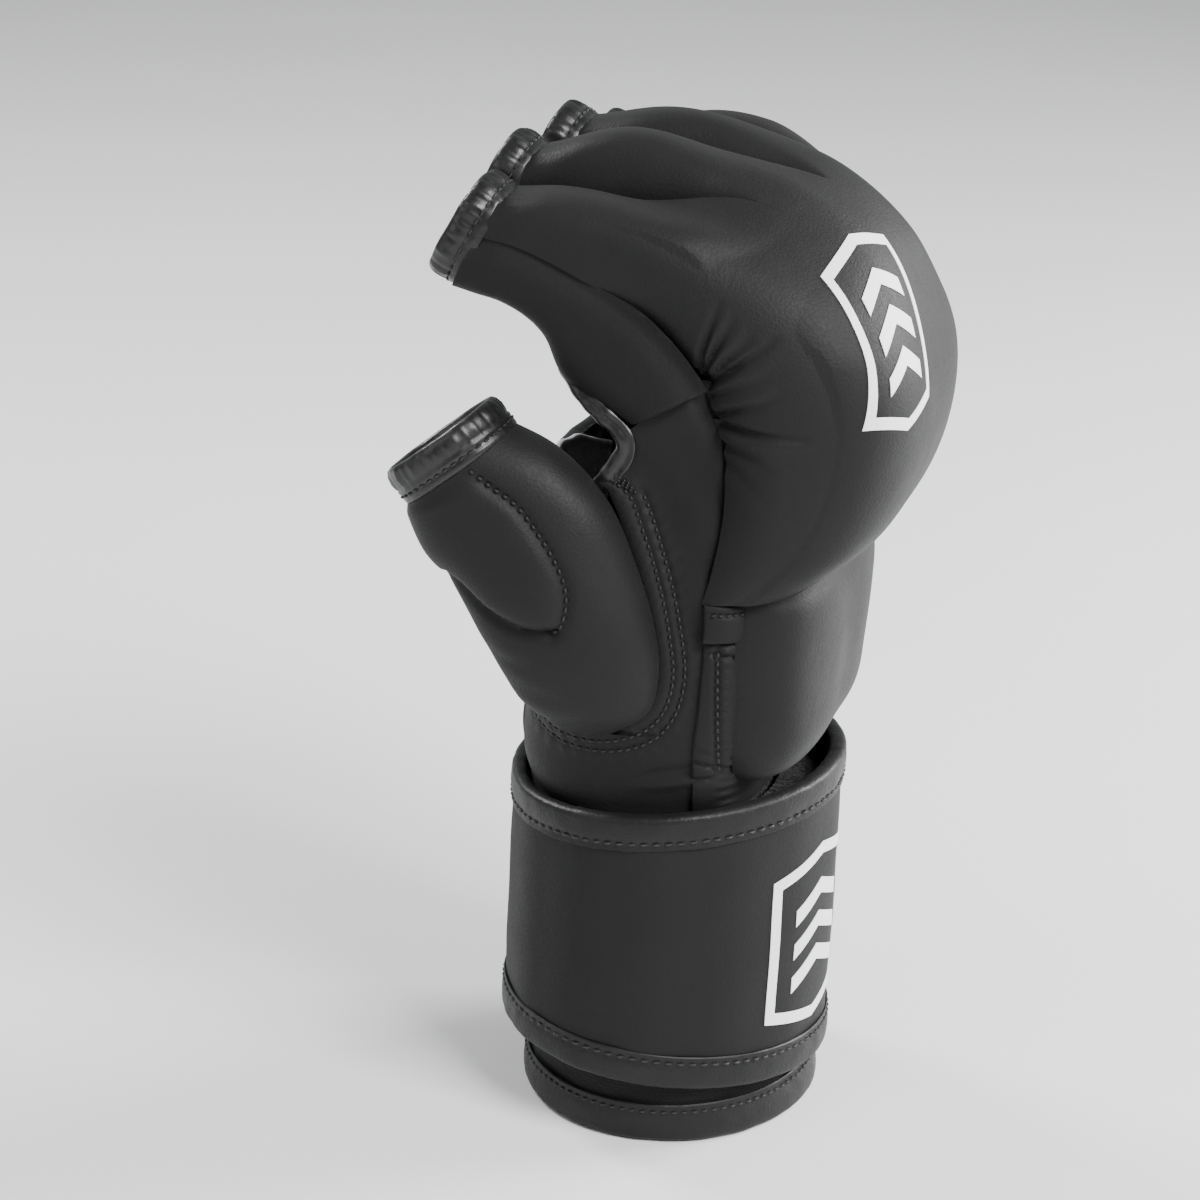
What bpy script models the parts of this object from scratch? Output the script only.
"""Right-hand mma sparring glove, standing on its cuff with the fingers up and curled.

Frame: +Z from the cuff to the fingers, +X out of the back of the hand, -X out of the palm,
-Y the thumb side, +Y the little finger side. Sizes are in millimetres from the middle of the
cuff's flat lower hem. The last step moves the glove so that the origin is the centre of its
box's lower face. Degrees run round the wrist: 0 at the back, 90 at the thumb, 180 at the palm.
"""
import math

import bmesh
import bpy
import numpy as np

for old in list(bpy.data.objects):
    bpy.data.objects.remove(old, do_unlink=True)

MILLIMETRE = 0.001

# ---- driving dimensions --------------------------------------------------------------------
CUFF_TOP = 83.0            # top of the wrist sleeve
GUSSET_Z = (83.5, 95.4)    # elastic ring between sleeve and hand
HAND_BOTTOM = 96.0         # lower edge of the hand panels
BACK_TOP = 198.0           # upper edge of the back panel, under the knuckle pad
PANEL_T = 1.8              # leather and lining panel thickness
COVER_T = 1.2              # pad cover thickness
FOAM_INSET = COVER_T + 0.6  # how far a foam's base stays in from its cover's sides
FOAM_DEPTH = COVER_T + 0.4  # how far a foam lies below its cover's skin
LOBE_GAP = 0.35            # clearance of finger pads and sleeves from the line between them

# ---- hand and sleeve sections --------------------------------------------------------------
# z, centre x, half depth, half width, roundness at the palm, roundness at the back
HAND = [
    (HAND_BOTTOM, -8.0, 32.4, 43.4, 2.3, 3.4),
    (110, -7.0, 32.5, 45.0, 2.5, 4.2),
    (130, -5.0, 31.0, 46.2, 2.7, 5.0),
    (155, -4.0, 30.0, 46.4, 2.8, 5.0),
    (180, -3.0, 29.6, 46.4, 2.8, 5.0),
    (212, -1.5, 28.0, 46.0, 2.8, 5.0),
]
SLEEVE = [
    (0, 1.4, 37.2, 44.4, 2.0, 2.0),
    (45, -1.6, 34.0, 43.4, 2.0, 2.0),
    (88, -6.2, 29.8, 42.0, 2.0, 2.0),
]

# ---- finger profiles -----------------------------------------------------------------------
# Stations along the padded back: 0 lower edge, 4 knuckle crease, 8 finger end.
FINGER_SLOTS = {  # y limits of each finger
    "index": (-49.6, -25.2),
    "middle": (-24.6, -0.4),
    "ring": (0.4, 24.6),
    "little": (25.2, 48.4),
}
FINGERS = tuple(FINGER_SLOTS)
KNUCKLE_BASE = [(13.5, 150.3), (16.2, 163), (17.6, 178)]                # stations 0 to 2
KNUCKLE_TOP = [(38, 152.5), (52.8, 165.5), (60.3, 186), (59.6, 209)]    # stations 0 to 3
BASE = {  # (x, z) of the padding's underside, stations 0 to 7; station 8 is added below
    "index": KNUCKLE_BASE + [
        (16.0, 193), (9.5, 206.5), (-3, 219.5), (-20, 229.5), (-36, 235.5)],
    "middle": KNUCKLE_BASE + [
        (17.0, 193), (12, 208), (0, 224), (-18, 236), (-37, 243)],
    "ring": KNUCKLE_BASE + [
        (17.0, 193), (12, 208), (2, 225), (-14, 237), (-31, 244)],
    "little": KNUCKLE_BASE + [
        (16.0, 193), (10, 206), (0, 221), (-12, 231), (-24, 237)],
}
TOP = {  # (x, z) of the padding's outside, stations 0 to 8
    "index": KNUCKLE_TOP + [
        (45.5, 232), (23, 243.5), (0, 246), (-24, 249.3), (-43.5, 248.5)],
    "middle": KNUCKLE_TOP + [
        (48.8, 233.5), (28.5, 248.6), (4, 255.5), (-19, 259.5), (-42, 257.0)],
    "ring": KNUCKLE_TOP + [
        (48.8, 233.5), (30, 248.9), (8, 256.3), (-14, 259.8), (-36, 258.2)],
    "little": KNUCKLE_TOP + [
        (46, 231), (28, 245.5), (8, 252), (-10, 254), (-31, 251)],
}
PALM_FIRST = 4        # station of the first row of PALM
PALM = {  # (x, z) of the palm side of each finger sleeve, stations 4 to 8
    "index": [(-8, 193), (-24.5, 202), (-31, 213.5), (-41, 219.8), (-54.5, 222.3)],
    "middle": [(-8, 195), (-24, 207), (-31, 219.5), (-41, 226.5), (-54, 229.5)],
    "ring": [(-8, 195), (-22, 208), (-28, 221), (-37, 228.5), (-47.5, 232)],
    "little": [(-8, 193), (-20, 204), (-26, 214), (-33, 221), (-42.5, 225)],
}
END_SPLIT = 0.585     # where the pad's base meets the open end, from its palm edge to its top
for finger in FINGERS:
    palm_end, top_end = PALM[finger][-1], TOP[finger][-1]
    BASE[finger].append(tuple(a + (b - a) * END_SPLIT for a, b in zip(palm_end, top_end)))

# ---- seams of the hand panels: (z, x) ------------------------------------------------------
SEAM_GAP = 0.5        # each panel stops this far in x from the seam beside the padded back
PALM_GAP = 0.3        # the same at the palm seams
THUMB_GAP = 0.4       # the same at the thumb stall's edge
# The seam beside the padded back follows the index padding's underside above the wrist.
BACK_SEAM = [(96, 12.6), (110, 12.8), (121, 13.8), (139, 14.5)]
BACK_SEAM += [(z, x) for x, z in BASE["index"][:5]]
PALM_SEAM = [(96, -31), (118, -31), (150, -27), (180, -24)]
THUMB_EDGE = [  # edge of the thumb side panel beside the thumb stall
    (113.6, -12), (114.6, -4.0), (119, 0.6), (124, 2.8), (131, 4.6),
    (142, 3.0), (152, 0.4), (161, -2.8), (171, -6.0), (177.5, -9.0),
]
CROTCH_EDGE = [  # finger side edge of the side panels, above the thumb stall
    (177.5, -9.0), (183, -8.4), (188, -7.2), (191.5, -8.2), (195, -4.5), (199.5, 2.0),
    (203.5, 6.8),
]


# ---- curves --------------------------------------------------------------------------------
def spread(start, end, steps):
    """Evenly spaced values from start to end, both included."""
    return [start + (end - start) * j / steps for j in range(steps + 1)]


AROUND = spread(0, 360, 32)[:-1]    # degrees of a closed ring's points


def station_value(values, station):
    """Catmull-Rom value of a list of stations, at a position counted in stations."""
    rows = np.asarray(values, float)
    station = min(max(station, 0.0), len(rows) - 1.0)
    i = min(int(station), len(rows) - 2)
    part = station - i
    start, end = rows[i], rows[i + 1]
    before = rows[i - 1] if i > 0 else 2 * start - end
    after = rows[i + 2] if i + 2 < len(rows) else 2 * end - start
    return 0.5 * (
        2 * start
        + (-before + end) * part
        + (2 * before - 5 * start + 4 * end - after) * part ** 2
        + (-before + 3 * start - 3 * end + after) * part ** 3
    )


def row_at(rows, key):
    """Linear interpolation of a table's other columns at a value of its first column."""
    rows = np.asarray(rows, float)
    return np.array([np.interp(key, rows[:, 0], column) for column in rows[:, 1:].T])


def edge_x(edge, z):
    """x of a panel edge at height z."""
    return row_at(edge, z).item()


def smoothstep(value):
    return value * value * (3 - 2 * value)


def signed_power(value, exponent):
    return math.copysign(abs(value) ** exponent, value)


def superellipse(angle, roundness):
    """Cosine and sine parts of a superellipse of unit radii."""
    exponent = 2 / roundness
    return signed_power(math.cos(angle), exponent), signed_power(math.sin(angle), exponent)


def unit(vector):
    return vector / np.linalg.norm(vector)


def tube_point(sections, z, degrees, offset=0.0):
    """Point of the sleeve or hand tube, moved out by offset."""
    centre_x, half_depth, half_width, palm_round, back_round = row_at(sections, z)
    angle = math.radians(degrees)
    roundness = back_round if math.cos(angle) > 0 else palm_round
    depth, width = superellipse(angle, roundness)
    x = centre_x + (half_depth + offset) * depth
    return np.array([x, -(half_width + offset) * width, z])


def tube_out(sections, z, degrees):
    """Point of a tube and its outward direction."""
    point = tube_point(sections, z, degrees)
    return point, unit(tube_point(sections, z, degrees, 1.0) - point)


def hand_degrees(z, x, side):
    """Angle at which the hand tube reaches x: side 1 is the thumb's, -1 the little finger's."""
    centre_x, half_depth, _, palm_round, back_round = row_at(HAND, z)
    reach = min(max((x - centre_x) / half_depth, -1.0), 1.0)
    roundness = back_round if reach > 0 else palm_round
    angle = math.degrees(math.acos(signed_power(reach, roundness / 2)))
    return angle if side > 0 else 360.0 - angle


# ---- materials -----------------------------------------------------------------------------
def make_material(name, colour, roughness):
    made = bpy.data.materials.new(name)
    made.use_nodes = True
    shader = made.node_tree.nodes["Principled BSDF"]
    shader.inputs["Base Color"].default_value = (*colour, 1.0)
    shader.inputs["Roughness"].default_value = roughness
    return made


LEATHER = make_material("matte_leather", colour=(0.035, 0.035, 0.037), roughness=0.55)
SHELL = make_material("panel_leather", colour=(0.028, 0.028, 0.030), roughness=0.6)
FOAM = make_material("foam", colour=(0.16, 0.16, 0.17), roughness=0.9)
TAPE = make_material("binding_tape", colour=(0.04, 0.04, 0.042), roughness=0.4)
SATIN = make_material("shiny_tape", colour=(0.06, 0.06, 0.063), roughness=0.28)
NEOPRENE = make_material("neoprene", colour=(0.015, 0.015, 0.018), roughness=0.85)
HOOK = make_material("hook_and_loop", colour=(0.01, 0.01, 0.012), roughness=0.95)
PRINT = make_material("white_print", colour=(0.85, 0.85, 0.86), roughness=0.5)
LABEL = make_material("label_fabric", colour=(0.8, 0.8, 0.8), roughness=0.8)
ELASTIC = make_material("elastic", colour=(0.02, 0.02, 0.022), roughness=0.8)


# ---- solids --------------------------------------------------------------------------------
SHARP_ANGLE = 38.0    # degrees between faces from which an edge is shaded sharp


def set_parent(obj, parent):
    """Parent obj without moving it."""
    obj.parent = parent
    obj.matrix_parent_inverse = parent.matrix_world.inverted()


def place(name, shape, material, parent):
    """Turn a bmesh into an object whose faces point out."""
    bmesh.ops.recalc_face_normals(shape, faces=shape.faces[:])
    if shape.calc_volume(signed=True) < 0:
        bmesh.ops.reverse_faces(shape, faces=shape.faces[:])
    mesh = bpy.data.meshes.new(name)
    shape.to_mesh(mesh)
    shape.free()
    mesh.shade_smooth()
    mesh.set_sharp_from_angle(angle=math.radians(SHARP_ANGLE))
    obj = bpy.data.objects.new(name, mesh)
    obj.data.materials.append(material)
    bpy.context.scene.collection.objects.link(obj)
    set_parent(obj, parent)


def add_quad(shape, a, b, c, d):
    """Two triangles, split from a to c."""
    shape.faces.new((a, b, c))
    shape.faces.new((a, c, d))


def slab(name, outer, inner, material, parent, wrap=False):
    """Closed solid between two equal grids of points. wrap closes their second direction."""
    shape = bmesh.new()
    skin, back = [
        [[shape.verts.new(point) for point in row] for row in np.asarray(grid) * MILLIMETRE]
        for grid in (outer, inner)
    ]
    count = len(skin[0])
    pairs = [(j, (j + 1) % count) for j in range(count if wrap else count - 1)]
    for i in range(len(skin) - 1):
        for j, k in pairs:
            add_quad(shape, skin[i][j], skin[i + 1][j], skin[i + 1][k], skin[i][k])
            add_quad(shape, back[i][k], back[i + 1][k], back[i + 1][j], back[i][j])
    for j, k in pairs:
        add_quad(shape, skin[0][k], back[0][k], back[0][j], skin[0][j])
        add_quad(shape, skin[-1][j], back[-1][j], back[-1][k], skin[-1][k])
    if not wrap:
        for i in range(len(skin) - 1):
            add_quad(shape, skin[i][0], back[i][0], back[i + 1][0], skin[i + 1][0])
            add_quad(shape, skin[i + 1][-1], back[i + 1][-1], back[i][-1], skin[i][-1])
    place(name, shape, material, parent)


def sweep(name, frames, section, material, parent, wrap=False):
    """A section of (out, up) points carried along frames of (point, out, up)."""
    shape = bmesh.new()
    rings = [
        [shape.verts.new((point + out * a + np.asarray(up) * b) * MILLIMETRE)
         for a, b in section]
        for point, out, up in frames
    ]
    following = rings[1:] + rings[:1] if wrap else rings[1:]
    for ring, after in zip(rings, following):
        for j in range(len(section)):
            k = (j + 1) % len(section)
            add_quad(shape, ring[j], after[j], after[k], ring[k])
    if not wrap:
        shape.faces.new(rings[0][::-1])
        shape.faces.new(rings[-1])
    place(name, shape, material, parent)


def tube_slab(name, sections, places, offsets, material, parent, wrap=False):
    """Slab between two offsets of a tube, over a grid of (z, degrees) places."""
    grids = [
        [[tube_point(sections, z, degrees, offset) for z, degrees in row] for row in places]
        for offset in offsets
    ]
    slab(name, *grids, material, parent, wrap)


def sunk(grid, depth):
    """The grid moved by -depth along its normals, which point away from its middle."""
    points = np.asarray(grid, float)
    normals = np.cross(np.gradient(points, axis=0), np.gradient(points, axis=1))
    normals /= np.linalg.norm(normals, axis=2, keepdims=True)
    if ((points - points.reshape(-1, 3).mean(axis=0)) * normals).sum() < 0:
        normals = -normals
    return points - normals * depth


def padding(name, skin, foam_depth, foam_base, parent):
    """A pad's cover, and its foam from foam_depth under the skin down to foam_base.

    The foam leaves out the skin's first and last columns, and so does foam_base.
    """
    slab(name + "_cover", skin, sunk(skin, COVER_T), LEATHER, parent)
    slab(name + "_foam", sunk(skin, foam_depth)[:, 1:-1], foam_base, FOAM, parent)


# ---- groups, each with its origin on a joint axis ------------------------------------------
WRIST_AXIS = (4.0, 0.0, 92.0)
FINGER_AXIS = {
    "index": (9.5, -37.4, 207.5),
    "middle": (12.0, -12.5, 209.0),
    "ring": (12.0, 12.5, 209.0),
    "little": (10.0, 36.8, 207.0),
}
THUMB_AXIS = (-33.0, -52.0, 166.0)


def group(name, origin=(0, 0, 0), parent=None):
    empty = bpy.data.objects.new(name, None)
    bpy.context.scene.collection.objects.link(empty)
    empty.location = tuple(value * MILLIMETRE for value in origin)
    if parent is not None:
        set_parent(empty, parent)
    bpy.context.view_layer.update()
    return empty


cuff_group = group("cuff_group")
hand_group = group("hand_group", WRIST_AXIS, cuff_group)
thumb_group = group("thumb_group", THUMB_AXIS, hand_group)
finger_groups = {
    finger: group(finger + "_group", FINGER_AXIS[finger], hand_group) for finger in FINGERS
}


# ---- wrist sleeve, its hem and the elastic above it ----------------------------------------
# Hem tape section: (out, up) from the sleeve's outside at z 0
HEM_SECTION = [
    (1.6, 0), (1.6, 10.5), (0.45, 10.5), (0.45, 1.4),
    (-2.35, 1.4), (-2.35, 10.5), (-3.5, 10.5), (-3.5, 0),
]
SLOPE_RISE = 10.0     # height over which the sleeve's slope is taken
GUSSET_T = 1.6
GUSSET_INSETS = (0.5, 3.6)    # below the sleeve's skin and below the hand's skin


def wrist_sleeve():
    for name, heights, offsets, material in (
        ("wrist_sleeve", (1.8, 45, CUFF_TOP), (0, -1.9), NEOPRENE),
        ("sleeve_lining", (11.5, 45, 82), (-2.2, -3.1), ELASTIC),
    ):
        places = [[(z, degrees) for degrees in AROUND] for z in heights]
        tube_slab(name, SLEEVE, places, offsets, material, cuff_group, wrap=True)


def cuff_hem_binding():
    frames = []
    for degrees in AROUND:
        point, out = tube_out(SLEEVE, 0.0, degrees)
        rise = (tube_point(SLEEVE, SLOPE_RISE, degrees) - point) / SLOPE_RISE
        frames.append((point, out, rise))
    sweep("cuff_hem_binding", frames, HEM_SECTION, TAPE, cuff_group, wrap=True)


def gusset_grid(depth):
    """From just above the sleeve's top edge to just under the hand panels."""
    edges = zip((SLEEVE, HAND), (CUFF_TOP, HAND_BOTTOM), GUSSET_Z, GUSSET_INSETS)
    return [
        [tube_point(sections, edge_z, degrees, -inset - depth) + (0, 0, z - edge_z)
         for degrees in AROUND]
        for sections, edge_z, z, inset in edges
    ]


def wrist_gusset():
    slab("wrist_gusset", gusset_grid(0), gusset_grid(GUSSET_T), ELASTIC, cuff_group, wrap=True)


# ---- wrist strap: a spiral that overlaps itself over the palm ------------------------------
STRAP_T = 2.4
STRAP_Z = (17.4, 91.0)        # lower and upper edge, mean heights
STRAP_DIP = 4.4               # the lower edge runs this far above and below its mean
STRAP_DIP_DEGREES = 145       # where the lower edge is highest
STRAP_RISE = 4.0              # the upper edge rises this far above its mean at the back
STRAP_START, STRAP_ROOT, STRAP_END = 130.0, 487.0, 602.0
STRAP_CENTRE_X = -2.3
STRAP_REACH = [  # degrees, inner radius along X, inner radius along Y
    (STRAP_START, 34.5, 43.6), (200, 34.5, 43.6), (252, 37.4, 45.3), (270, 38.6, 46.6),
    (300, 40.3, 47.4), (360, 41.0, 47.6), (450, 39.9, 47.6), (STRAP_ROOT, 38.25, 47.35),
    (540, 38.25, 47.35), (612, 40.4, 49.0),
]
BOUND_START = 252.0           # before this the strap lies under the flap and has no binding
PATCH_MARGINS = (9, 9)        # hook and loop patches, from the strap's lower and upper edge
FLAP_START = STRAP_ROOT + 2.5
FLAP_HINGE = (STRAP_ROOT + 1.5, STRAP_T, 50.0)    # degrees, offset and z of the flap's origin
FLAP_LIFT = 0.35              # clearance between strap and flap
# Tape sections: (out from the strap's inside, in from its edge)
STRAP_SECTION = [
    (-0.9, -1.3), (STRAP_T + 0.85, -1.3), (STRAP_T + 0.85, 8.0), (STRAP_T + 0.3, 8.0),
    (STRAP_T + 0.3, -0.3), (-0.28, -0.3), (-0.28, 8.0), (-0.9, 8.0),
]
FLAP_TOP = FLAP_LIFT + STRAP_T
FLAP_SECTION = [
    (FLAP_LIFT - 0.3, -1.2), (FLAP_TOP + 0.85, -1.2), (FLAP_TOP + 0.85, 8.0),
    (FLAP_TOP + 0.3, 8.0), (FLAP_TOP + 0.3, -0.35), (FLAP_LIFT - 0.3, -0.35),
]
UPPER, LOWER = -1.0, 1.0      # a strap edge, given as the z direction into the strap


def strap_point(degrees, offset, z):
    radius_x, radius_y = row_at(STRAP_REACH, degrees)
    angle = math.radians(degrees)
    x = STRAP_CENTRE_X + (radius_x + offset) * math.cos(angle)
    return np.array([x, -(radius_y + offset) * math.sin(angle), z])


def strap_edge_z(degrees, edge):
    if edge == UPPER:
        return STRAP_Z[1] + STRAP_RISE * math.cos(math.radians(degrees))
    return STRAP_Z[0] + STRAP_DIP * math.cos(math.radians(degrees - STRAP_DIP_DEGREES))


def strap_slab(name, span, steps, offsets, material, parent, margins=(0, 0)):
    """Part of the strap over a span of degrees, between two offsets from its inside."""
    grids = []
    for offset in offsets:
        grid = [[], [], []]
        for degrees in spread(*span, steps):
            low = strap_edge_z(degrees, LOWER) + margins[0]
            high = strap_edge_z(degrees, UPPER) - margins[1]
            for row, fraction in zip(grid, (0.0, 0.5, 1.0)):
                row.append(strap_point(degrees, offset, low + (high - low) * fraction))
        grids.append(grid)
    slab(name, *grids, material, parent)


def strap_frame(degrees, edge):
    z = strap_edge_z(degrees, edge)
    point = strap_point(degrees, 0, z)
    out = unit(strap_point(degrees, 1, z) - point)
    return point, out, np.array([0, 0, edge])


def strap_band():
    span = (STRAP_START, STRAP_ROOT)
    strap_slab("strap_band", span, 44, (STRAP_T, 0), LEATHER, cuff_group)
    for name, edge in (("strap_upper_binding", UPPER), ("strap_lower_binding", LOWER)):
        frames = [strap_frame(degrees, edge) for degrees in spread(BOUND_START, STRAP_ROOT, 24)]
        sweep(name, frames, STRAP_SECTION, TAPE, cuff_group)


def loop_patch():
    offsets = (STRAP_T + 0.7, STRAP_T + 0.3)
    strap_slab("loop_patch", (142, 236), 12, offsets, HOOK, cuff_group, PATCH_MARGINS)


def strap_emblem():
    offsets = (STRAP_T + 1.0, STRAP_T + 0.35)
    strap_slab("strap_emblem", (336, 408), 12, offsets, PRINT, cuff_group, margins=(12, 17))


def flap_binding(parent):
    """Tape along the flap's upper edge, round its end and back along the lower edge."""
    stops = spread(FLAP_START, STRAP_END, 14)
    upper = [strap_frame(degrees, UPPER) for degrees in stops]
    lower = [strap_frame(degrees, LOWER) for degrees in reversed(stops)]
    back_along = unit(strap_point(STRAP_END - 0.2, 0, 0) - strap_point(STRAP_END, 0, 0))
    # The two corner frames are mitred.
    for frames, corner in ((upper, -1), (lower, 0)):
        point, out, inward = frames[corner]
        frames[corner] = (point, out, back_along + inward)
    sweep("flap_binding", upper + lower, FLAP_SECTION, TAPE, parent)


def strap_flap():
    flap_group = group("flap_group", strap_point(*FLAP_HINGE), cuff_group)
    span = (FLAP_START, STRAP_END)
    strap_slab("strap_flap", span, 16, (FLAP_TOP, FLAP_LIFT), LEATHER, flap_group)
    offsets = (FLAP_LIFT - 0.3, FLAP_LIFT - 0.7)
    strap_slab("hook_patch", (500, 596), 12, offsets, HOOK, flap_group, PATCH_MARGINS)
    flap_binding(flap_group)


# ---- hand panels ---------------------------------------------------------------------------
THUMB_SIDE_Z = [
    96, 104, 112.2, 114.7, 119, 124, 131, 142, 152, 161, 171, 177.5, 183, 188, 191.5, 195,
    199.5, 203.0,
]
LITTLE_SIDE_Z = [96, 110, 125, 140, 150, 163, 178, 188, 195, 199.5, 203.0]
BACK_Z = [96, 110, 121, 139, 150.3, 163, 178, 193, BACK_TOP]
THUMB_EDGE_Z = (113.0, 177.5)  # the thumb side panel is cut away for the stall between these
LITTLE_CROTCH_Z = 180.0        # the little finger side panel leaves the palm seam here
PANEL_OFFSETS = (0, -PANEL_T)
PALM_SIDES_Z, PALM_SAG = 176.0, 7.0    # palm panel's upper hem at its sides, dip in its middle
# Palm hem tape section: (out, down) from the panel's upper edge
PALM_HEM_SECTION = [
    (1.2, -1.4), (1.2, 6.0), (0.5, 6.0), (0.5, -0.6),
    (-2.3, -0.6), (-2.3, 6.0), (-3.0, 6.0), (-3.0, -1.4),
]


def thumb_side_front(z):
    """x of the thumb side panel's palm edge: it reaches the palm seam only below the stall."""
    if z < THUMB_EDGE_Z[0]:
        return edge_x(PALM_SEAM, z) + PALM_GAP
    return edge_x(THUMB_EDGE if z < THUMB_EDGE_Z[1] else CROTCH_EDGE, z) + THUMB_GAP


def little_side_front(z):
    """x of the little finger side panel's palm edge."""
    return edge_x(PALM_SEAM if z < LITTLE_CROTCH_Z else CROTCH_EDGE, z) + PALM_GAP


def side_panel(name, heights, front_x, side, steps):
    places = []
    for z in heights:
        front = hand_degrees(z, front_x(z), side)
        back = hand_degrees(z, edge_x(BACK_SEAM, z) - SEAM_GAP, side)
        places.append([(z, degrees) for degrees in spread(front, back, steps)])
    tube_slab(name, HAND, places, PANEL_OFFSETS, SHELL, hand_group)


def back_panel():
    places = []
    for z in BACK_Z:
        edge = hand_degrees(z, edge_x(BACK_SEAM, z) + SEAM_GAP, 1)
        places.append([(z, degrees) for degrees in spread(edge, -edge, 12)])
    tube_slab("back_panel", HAND, places, PANEL_OFFSETS, SHELL, hand_group)


def palm_place(across, up):
    """(z, degrees) on the palm panel, both fractions: across from the thumb side, up from 0."""
    top = PALM_SIDES_Z - PALM_SAG * math.sin(math.pi * across)
    z = HAND_BOTTOM + (top - HAND_BOTTOM) * up
    edge = hand_degrees(z, edge_x(PALM_SEAM, z) - PALM_GAP, 1)
    return z, edge + (360 - 2 * edge) * across


def palm_panel():
    places = [[palm_place(across, up) for across in spread(0, 1, 12)] for up in spread(0, 1, 7)]
    tube_slab("palm_panel", HAND, places, PANEL_OFFSETS, SHELL, hand_group)


def palm_hem_binding():
    down = (0, 0, -1)
    frames = [
        (*tube_out(HAND, *palm_place(across, 1.0)), down) for across in spread(0.03, 0.97, 16)
    ]
    sweep("palm_hem_binding", frames, PALM_HEM_SECTION, SATIN, hand_group)


def care_label():
    """Label inside the palm panel, towards the thumb."""
    places = [[(z, degrees) for degrees in spread(150, 172, 4)] for z in (150.0, 160.0)]
    offsets = (-PANEL_T - 0.3, -PANEL_T - 0.8)
    tube_slab("care_label", HAND, places, offsets, LABEL, hand_group)


# ---- knuckle pad: one loaf across all four fingers -----------------------------------------
KNUCKLE_HALF = [44.5, 48.5, 51, 52, 51.5, 50, 49.6]    # widest half width at stations 0 to 6
KNUCKLE_ROUNDNESS = 3.0
KNUCKLE_STATIONS = [0, 0.5, 1, 1.6, 2.3, 3, 3.45, 3.9, 4.3, 4.73]
KNUCKLE_ACROSS = spread(-1, 1, 18)
TUCK_HALF = 46.9      # the pad's rim is tucked in to this half width
TUCK_HEIGHT = 0.35    # part of the pad's height over which it is tucked in
BASE_HALF = 45.1      # greatest half width of the foam's base
HAND_EDGE_Y = 46.8    # beyond this a pad overhangs the hand and needs no extra clearance
REACH_Z, REACH_H = BACK_TOP + 4.0, 15.0    # above the back panel the pad reaches inwards
REACH_DROP, REACH_EDGE_DROP = 26.0, 14.0   # by this much in x, and this much at the seam
LIFT, ROOT_LIFT = 0.4, 1.3    # least clearance under the pad, and extra over finger roots
MAX_CLEARANCE = 24.0
PAD_OVERLAP_Y = 2.5   # clearance is taken this far nearer the hand's middle


def profile(table, y, station):
    """(x, z) of a finger profile at y, blended between neighbouring fingers."""
    middles = [(low + high) / 2 for low, high in FINGER_SLOTS.values()]
    position = float(np.interp(y, middles, range(len(FINGERS))))
    i = math.floor(position)
    blend = smoothstep(position - i)
    first = station_value(table[FINGERS[i]], station)
    second = station_value(table[FINGERS[min(i + 1, len(FINGERS) - 1)]], station)
    return first * (1 - blend) + second * blend


def hand_x(y, z):
    """x of the surface that pads rest on, at |y| - PAD_OVERLAP_Y: the hand tube or its seam."""
    centre_x, half_depth, half_width, _, roundness = row_at(HAND, z)
    part = min(max(abs(y) - PAD_OVERLAP_Y, 0.0) / half_width, 1.0)
    over = min(max((z - REACH_Z) / REACH_H, 0.0), 1.0)
    tube_x = centre_x + half_depth * (1 - part ** roundness) ** (1 / roundness)
    return max(tube_x - REACH_DROP * smoothstep(over),
               edge_x(BACK_SEAM, z) - REACH_EDGE_DROP * over)


def clear_of_hand(base, ahead, y, station):
    """How far ahead of base the pad's underside starts so that it lies on the hand panels."""
    low = LIFT + ROOT_LIFT * min(max((station - 3.5) / 0.5, 0.0), 1.0)
    if abs(y) > HAND_EDGE_Y:
        return low
    high = MAX_CLEARANCE
    for _ in range(26):
        middle = (low + high) / 2
        x, z = base + ahead * middle
        if x < hand_x(y, z) + 0.5:
            low = middle
        else:
            high = middle
    return high


def knuckle_section(station, across):
    """Base point, direction and length out of it, y, height part and half width."""
    half = float(station_value(KNUCKLE_HALF, station))
    height, side = superellipse(across * math.pi / 2, KNUCKLE_ROUNDNESS)
    y = half * side
    tuck = max(half - TUCK_HALF, 0.0) * max(0.0, 1 - height / TUCK_HEIGHT) ** 2
    y -= math.copysign(tuck, y)
    base = profile(BASE, y, station)
    reach = profile(TOP, y, station) - base
    length = float(np.linalg.norm(reach))
    return base, reach / length, length, y, height, half


def knuckle_skin_point(station, across):
    base, ahead, length, y, height, _ = knuckle_section(station, across)
    low = clear_of_hand(base, ahead, y, station)
    x, z = base + ahead * (low + (length - low) * height)
    return np.array([x, y, z])


def knuckle_base_point(station, across):
    base, ahead, _, y, _, half = knuckle_section(station, across)
    y = math.copysign(min(abs(y) * (1 - FOAM_INSET / half), BASE_HALF), y)
    x, z = base + ahead * clear_of_hand(base, ahead, y, station)
    return np.array([x, y, z])


def knuckle_pad():
    skin = [[knuckle_skin_point(s, across) for across in KNUCKLE_ACROSS]
            for s in KNUCKLE_STATIONS]
    foam_base = [[knuckle_base_point(s, across) for across in KNUCKLE_ACROSS[1:-1]]
                 for s in KNUCKLE_STATIONS]
    padding("knuckle_pad", skin, COVER_T + 0.55, foam_base, hand_group)
    # White print on the thumb side half of the pad
    emblem = [sunk(skin, -height)[3:8, 3:9] for height in (1.0, 0.5)]
    slab("knuckle_emblem", *emblem, PRINT, hand_group)


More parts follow.
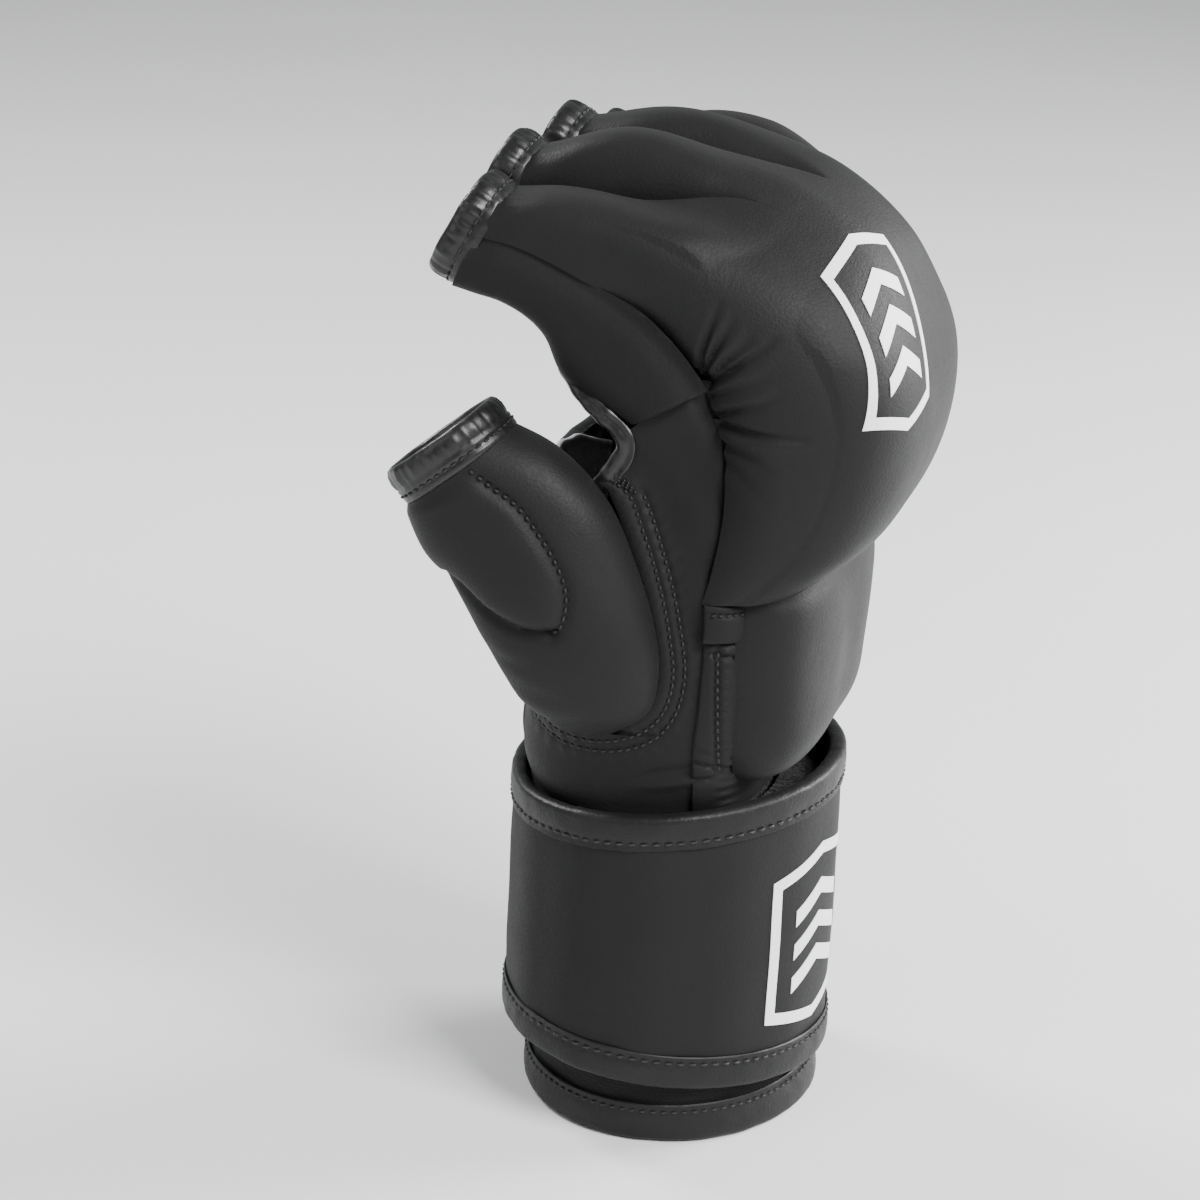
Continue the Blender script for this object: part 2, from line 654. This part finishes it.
# ---- fingers -------------------------------------------------------------------------------
PAD_STATIONS = [5.82, 6.5, 7.2, 8.0]
WEDGE_SECTIONS = ((4.81, 5.0), (5.25, 3.6), (5.7, 2.8))    # station, roundness
WEDGE_INSET = 0.3
SLEEVE_STATIONS = [4.9, 5.6, 6.7, 8.0]
PAD_ROUNDNESS, SLEEVE_ROUNDNESS, BINDING_ROUNDNESS = 2.6, 3.6, 2.5
FINGER_SLEEVE_T = 1.4
FINGER_BINDING_T = 1.6
FINGER_BINDING_SPAN = (0.6, 8.0)    # distances past the finger's end
LOBE_ACROSS = spread(0, 1, 8)


def finger_width(finger):
    """Middle y and half width of a finger's slot."""
    low, high = FINGER_SLOTS[finger]
    return (low + high) / 2, (high - low) / 2


def lobe_point(finger, station, across, inset=0.0, roundness=PAD_ROUNDNESS, on_base=False):
    """Point of a finger's pad. across runs 0 to 1 from the thumb side."""
    middle, half = finger_width(finger)
    side, height = superellipse(math.pi * (1 - across), roundness)
    base = station_value(BASE[finger], station)
    reach = station_value(TOP[finger], station) - base
    lift = LOBE_GAP / float(np.linalg.norm(reach))
    x, z = base + reach * (lift + (1 - lift) * (0.0 if on_base else height))
    return np.array([x, middle + side * (half - inset), z])


def finger_pad(finger):
    skin = [[lobe_point(finger, s, across) for across in LOBE_ACROSS] for s in PAD_STATIONS]
    foam_base = [[lobe_point(finger, s, across, FOAM_INSET, on_base=True)
                  for across in LOBE_ACROSS[1:-1]] for s in PAD_STATIONS]
    padding(finger + "_pad", skin, FOAM_DEPTH, foam_base, finger_groups[finger])


def knuckle_wedge(finger):
    """Flex wedge, square where it meets the knuckle pad and rounder at the finger pad."""
    grids = [
        [[lobe_point(finger, s, across, WEDGE_INSET, roundness, on_base)
          for across in LOBE_ACROSS[1:-1]] for s, roundness in WEDGE_SECTIONS]
        for on_base in (False, True)
    ]
    slab(finger + "_knuckle_wedge", *grids, FOAM, finger_groups[finger])


def sleeve_point(finger, station, around, inset):
    """Point of a finger sleeve: around runs 0 to 1 from the thumb side rim, under the finger."""
    middle, half = finger_width(finger)
    base = station_value(BASE[finger], station)
    depth = station_value(PALM[finger], station - PALM_FIRST) - base
    length = np.linalg.norm(depth)
    side, down = superellipse(math.pi * around, SLEEVE_ROUNDNESS)
    x, z = base + depth / length * (LOBE_GAP + (length - LOBE_GAP - inset) * down)
    return np.array([x, middle - side * (half - 0.25 - inset), z])


def finger_sleeve(finger):
    grids = [
        [[sleeve_point(finger, s, around, inset) for around in spread(0, 1, 10)]
         for s in SLEEVE_STATIONS]
        for inset in (0.0, FINGER_SLEEVE_T)
    ]
    slab(finger + "_sleeve", *grids, SHELL, finger_groups[finger])


def finger_end_binding(finger):
    """Tape ring at the open end of a finger, pushed past the end of its pad and sleeve."""
    middle, half = finger_width(finger)
    top, palm = np.array(TOP[finger][-1]), np.array(PALM[finger][-1])
    centre, tall = (top + palm) / 2, np.linalg.norm(top - palm) / 2
    up = unit(top - palm)
    ahead = np.array([-up[1], up[0]])
    grids = []
    for wall in (0.0, FINGER_BINDING_T):
        grid = []
        for distance in FINGER_BINDING_SPAN:
            row = []
            for j in range(18):
                side, height = superellipse(2 * math.pi * j / 18, BINDING_ROUNDNESS)
                x, z = centre + up * height * (tall - wall - 0.3) + ahead * distance
                row.append((x, middle + side * (half - 0.1 - wall), z))
            grid.append(row)
        grids.append(grid)
    slab(finger + "_end_binding", *grids, SATIN, finger_groups[finger], wrap=True)


# ---- pad over the back of the wrist --------------------------------------------------------
WRIST_PAD = [  # z at the base, base x at the rim, outer x, outer z
    (100.0, 20.2, 34.0, 100.2),
    (104, 20.0, 38.6, 105.5),
    (111, 20.0, 41.2, 112.0),
    (121, 20.0, 42.0, 121.5),
    (133, 20.0, 42.6, 133.5),
    (143, 20.0, 43.0, 144.5),
    (149.2, 20.0, 43.0, 152.6),
]
WRIST_PAD_HALF = 44.0
WRIST_PAD_ROUNDNESS = 3.2
WRIST_PAD_LIFT = 0.6
TAB_X = (14.6, 18.6)
TAB_Z = (139.0, 148.5)


def wrist_pad_point(row, across, inset=0.0, on_base=False):
    base_z, rim_x, outer_x, outer_z = row
    height, side = superellipse(across * math.pi / 2, WRIST_PAD_ROUNDNESS)
    y = (WRIST_PAD_HALF - inset) * side
    low_x = hand_x(y, base_z) + WRIST_PAD_LIFT
    x = low_x + (outer_x - low_x) * (0.0 if on_base else height)
    slope = (outer_z - base_z) / (outer_x - rim_x)
    return np.array([x, y, base_z + slope * (x - rim_x)])


def wrist_pad():
    stops = spread(-1, 1, 14)
    skin = [[wrist_pad_point(row, across) for across in stops] for row in WRIST_PAD]
    foam_base = [[wrist_pad_point(row, across, FOAM_INSET, on_base=True)
                  for across in stops[1:-1]] for row in WRIST_PAD]
    padding("wrist_pad", skin, FOAM_DEPTH, foam_base, hand_group)


def pad_tabs():
    """Small tabs between the wrist pad's upper corners and the side seams."""
    for name, side in (("pad_tab_radial", 1), ("pad_tab_ulnar", -1)):
        places = []
        for z in TAB_Z:
            start, end = (hand_degrees(z, x, side) for x in TAB_X)
            places.append([(z, degrees) for degrees in spread(start, end, 3)])
        tube_slab(name, HAND, places, (1.4, 0.35), SHELL, hand_group)


# ---- thumb stall ---------------------------------------------------------------------------
# Palm edge x, z; side panel edge x, z; y of the middle plane; depth outwards (-Y); depth
# towards the hand (+Y). Stations 0 at the stall's base to 7 at its binding.
THUMB = [
    (-20, 114.6, -11, 113.9, -48.3, 2.0, 0),
    (-31, 121.5, 1.0, 121, -48.3, 9.5, 0),
    (-38.5, 131.5, 3.6, 132, -48.5, 13.5, 0),
    (-46, 143.5, 1.6, 145, -49.0, 15.5, 6.0),
    (-50.5, 151, -3.2, 158.5, -50.0, 15.5, 10.0),
    (-55.5, 158.5, -10.5, 174.5, -51.0, 15.0, 12.5),
    (-59.0, 166.5, -23, 186.0, -52.0, 14.5, 13.5),
    (-60.6, 172.2, -37.0, 192.2, -53.0, 14.0, 14.0),
]
THUMB_ROUNDNESS = 2.3
THUMB_BASE_STATIONS = (0.0, 0.6, 1.3, 2.2, 3.0, 3.7, 4.3)
THUMB_WEB_STATIONS = (3.2, 3.75, 4.3)
THUMB_GUSSET_STATIONS = (4.42, 4.95)
THUMB_TIP_STATIONS = (5.07, 5.8, 6.5, 7.0)
THUMB_FOAM_STATIONS = (5.1, 5.8, 6.5, 6.95)
THUMB_ACROSS = spread(-1, 1, 12)
TIP_ACROSS = spread(-0.985, 0.985, 12)
WEB_ACROSS = spread(-0.97, 0.97, 8)
THUMB_BINDING_AXIS = np.array([-0.64, -0.12, 0.77])
THUMB_BINDING_SPAN = (0.5, 7.0)    # distances past the stall's end


def thumb_point(station, across, outward=True, inset=0.0):
    """Point of the stall. across runs -1 (palm edge) to 1 (side panel edge)."""
    row = station_value(THUMB, station)
    palm_edge, side_edge = row[0:2], row[2:4]
    middle_y, outward_depth, hand_depth = row[4:]
    arm = (side_edge - palm_edge) / 2
    bulge, along = superellipse(across * math.pi / 2, THUMB_ROUNDNESS)
    along *= 1 - inset / np.linalg.norm(arm)
    x, z = (palm_edge + side_edge) / 2 + arm * along
    if outward:
        y = middle_y - max(outward_depth - inset, 0.8) * bulge
    else:
        y = middle_y + max(hand_depth - inset, 0.6) * bulge
    return np.array([x, y, z])


def thumb_slab(name, stations, stops, insets, material, parent, outward=True, shift_y=0.0):
    """One side of the stall between two insets."""
    grids = [
        [[thumb_point(s, across, outward, inset) + (0, shift_y, 0) for across in stops]
         for s in stations]
        for inset in insets
    ]
    slab(name, *grids, material, parent)


def thumb_loop(station, inset):
    """Closed section round the stall: out over its -Y side, back over its +Y side."""
    points = []
    for j in range(24):
        turn = 4.0 * j / 24
        across = turn - 1 if turn <= 2 else 3 - turn
        points.append(thumb_point(station, across, turn <= 2, inset))
    return points


def thumb_panels():
    thumb_slab("thumb_base_panel", THUMB_BASE_STATIONS, THUMB_ACROSS, (0, PANEL_T),
               LEATHER, hand_group)
    thumb_slab("thumb_web_panel", THUMB_WEB_STATIONS, WEB_ACROSS, (0, PANEL_T),
               SHELL, hand_group, outward=False, shift_y=0.4)
    thumb_slab("thumb_outer_panel", THUMB_TIP_STATIONS, TIP_ACROSS, (0, COVER_T),
               LEATHER, thumb_group)
    thumb_slab("thumb_inner_panel", THUMB_TIP_STATIONS, TIP_ACROSS, (0, COVER_T),
               SHELL, thumb_group, outward=False, shift_y=0.5)
    thumb_slab("thumb_pad_foam", THUMB_FOAM_STATIONS, spread(-0.75, 0.6, 8),
               (FOAM_DEPTH, COVER_T + 4.0), FOAM, thumb_group)


def thumb_gusset():
    """Elastic ring between the stall's base and its tip."""
    grids = [[thumb_loop(s, inset) for s in THUMB_GUSSET_STATIONS] for inset in (0.5, 1.9)]
    slab("thumb_gusset", *grids, ELASTIC, thumb_group, wrap=True)


def thumb_end_binding():
    """Tape ring past the stall's open end."""
    grids = [
        [np.array(thumb_loop(7.0, inset)) + THUMB_BINDING_AXIS * distance
         for distance in THUMB_BINDING_SPAN]
        for inset in (-0.3, 1.5)
    ]
    slab("thumb_end_binding", *grids, SATIN, thumb_group, wrap=True)


# ---- build ---------------------------------------------------------------------------------
def centre_over_origin():
    """Stand the glove's box over the origin."""
    bpy.context.view_layer.update()
    points = np.array([
        obj.matrix_world @ vertex.co
        for obj in bpy.context.scene.objects if obj.type == "MESH"
        for vertex in obj.data.vertices
    ])
    low, high = points.min(axis=0), points.max(axis=0)
    cuff_group.location = (-(low[0] + high[0]) / 2, -(low[1] + high[1]) / 2, -low[2])
    bpy.context.view_layer.update()


wrist_sleeve()
cuff_hem_binding()
wrist_gusset()
strap_band()
loop_patch()
strap_emblem()
strap_flap()

side_panel("radial_side_panel", THUMB_SIDE_Z, thumb_side_front, side=1, steps=6)
side_panel("ulnar_side_panel", LITTLE_SIDE_Z, little_side_front, side=-1, steps=7)
back_panel()
palm_panel()
palm_hem_binding()
care_label()

knuckle_pad()
for finger in FINGERS:
    finger_pad(finger)
    knuckle_wedge(finger)
    finger_sleeve(finger)
    finger_end_binding(finger)
wrist_pad()
pad_tabs()

thumb_panels()
thumb_gusset()
thumb_end_binding()

centre_over_origin()
